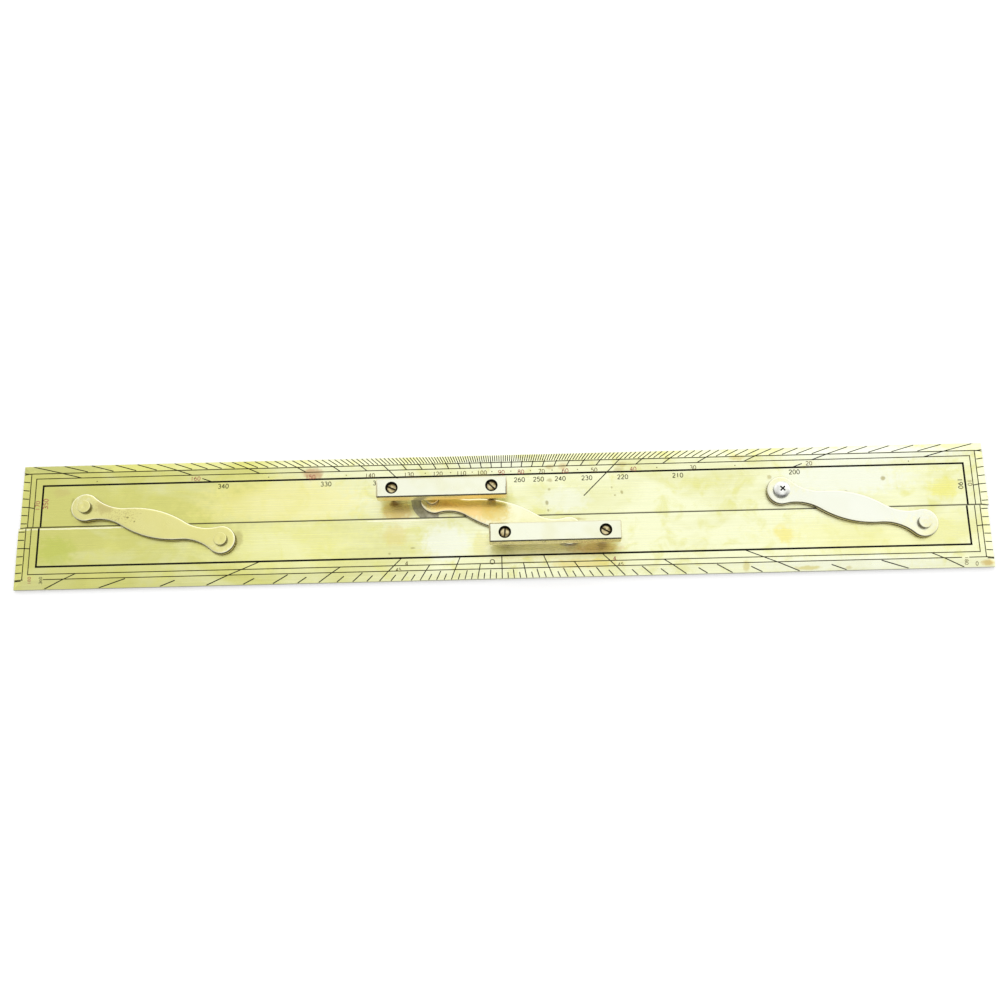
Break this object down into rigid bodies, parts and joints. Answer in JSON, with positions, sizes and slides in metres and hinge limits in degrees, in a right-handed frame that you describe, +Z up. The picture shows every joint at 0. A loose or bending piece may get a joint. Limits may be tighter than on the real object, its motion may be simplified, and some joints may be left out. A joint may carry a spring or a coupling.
{
  "type": "parallel rule",
  "caption": "Brass parallel rule for charts: two bevelled blades with engraved angle scales, joined by swinging links, with raised grip bars that walk it across the sheet.",
  "frame": {"origin": "middle of the closed rule's outline, on its underside", "axes": "+X along the rule, +Y towards the blade with the degree scale, +Z up out of the sheet"},
  "size_m": [0.4578, 0.0604, 0.0195],
  "materials": {
    "blade_brass": "polished flat with a fine lengthwise grain, lacquer worn, engraved lines filled dark",
    "link_brass": "polished, edges eased, lightly tarnished in the corners",
    "grip_brass": "polished, corners eased",
    "steel": "bright zinc-plated steel, lightly worn"
  },
  "bodies": {
    "upper": {"upper_blade": "blade_brass", "left_link_upper_pin": "link_brass", "middle_link_upper_pin": "link_brass", "right_link_upper_screw": "steel", "left_link_upper_washer": "link_brass", "middle_link_upper_washer": "steel", "right_link_upper_washer": "link_brass", "upper_grip_bar": "grip_brass", "upper_left_pillar": "grip_brass", "upper_right_pillar": "grip_brass", "upper_left_grip_screw": "grip_brass", "upper_right_grip_screw": "grip_brass"},
    "left_link": {"left_link": "link_brass"},
    "middle_link": {"middle_link": "link_brass"},
    "right_link": {"right_link": "link_brass"},
    "lower": {"lower_blade": "blade_brass", "left_link_lower_pin": "link_brass", "middle_link_lower_pin": "link_brass", "right_link_lower_pin": "link_brass", "left_link_lower_washer": "link_brass", "middle_link_lower_washer": "link_brass", "right_link_lower_washer": "link_brass", "lower_grip_bar": "grip_brass", "lower_left_pillar": "grip_brass", "lower_right_pillar": "grip_brass", "lower_left_grip_screw": "grip_brass", "lower_right_grip_screw": "grip_brass"}
  },
  "joints": [
    {"name": "middle_link_hinge", "type": "hinge", "parent": "upper", "child": "middle_link", "pos_m": [-0.03247, 0.00805, 0.00366], "axis": [0, 0, -1], "range_deg": [0, 149]},
    {"name": "left_link_hinge", "type": "hinge", "parent": "upper", "child": "left_link", "pos_m": [-0.19655, 0.00805, 0.00366], "axis": [0, 0, -1], "range_deg": [0, 149]},
    {"name": "right_link_hinge", "type": "hinge", "parent": "upper", "child": "right_link", "pos_m": [0.13162, 0.00805, 0.00366], "axis": [0, 0, -1], "range_deg": [0, 149]},
    {"name": "lower_blade_hinge", "type": "hinge", "parent": "middle_link", "child": "lower", "pos_m": [0.03247, -0.00925, 0.00366], "axis": [0, 0, -1], "range_deg": [-149, 0]}
  ],
  "couplings": [
    {"joint": "left_link_hinge", "follows": "middle_link_hinge", "ratio": 1},
    {"joint": "right_link_hinge", "follows": "middle_link_hinge", "ratio": 1},
    {"joint": "lower_blade_hinge", "follows": "middle_link_hinge", "ratio": -1}
  ]
}
